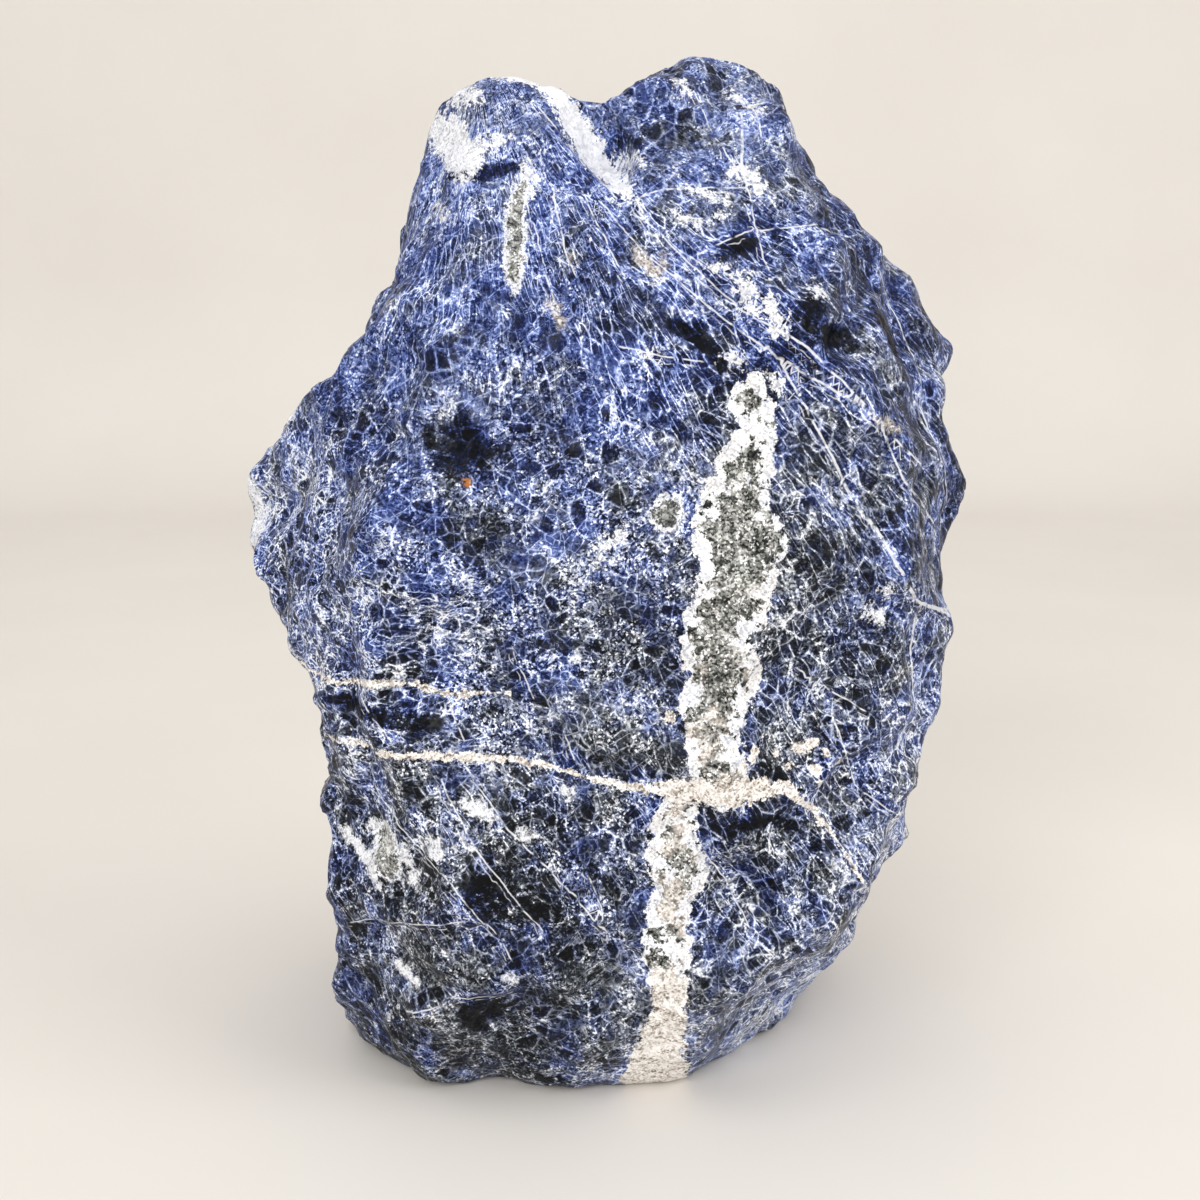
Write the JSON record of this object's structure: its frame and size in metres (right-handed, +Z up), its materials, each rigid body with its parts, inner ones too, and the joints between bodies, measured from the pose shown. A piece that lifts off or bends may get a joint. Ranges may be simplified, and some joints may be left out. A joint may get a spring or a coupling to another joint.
{
  "type": "raw sodalite stone",
  "caption": "Free-standing lump of raw blue sodalite, a hackly broken slab with a split peak, standing upright on a flat foot.",
  "frame": {"origin": "middle of the bounding box, on the surface that the stone stands on", "axes": "+Z up the stone to its peak, +X to the right of the broad front face, -Y out of that face"},
  "size_m": [0.1194, 0.0784, 0.1593],
  "materials": {
    "sodalite": "raw broken rock: dark navy grains in a net of white and pale blue veins, grey granular and cream calcite bands"
  },
  "bodies": {
    "root": {"sodalite": "sodalite"}
  },
  "joints": []
}
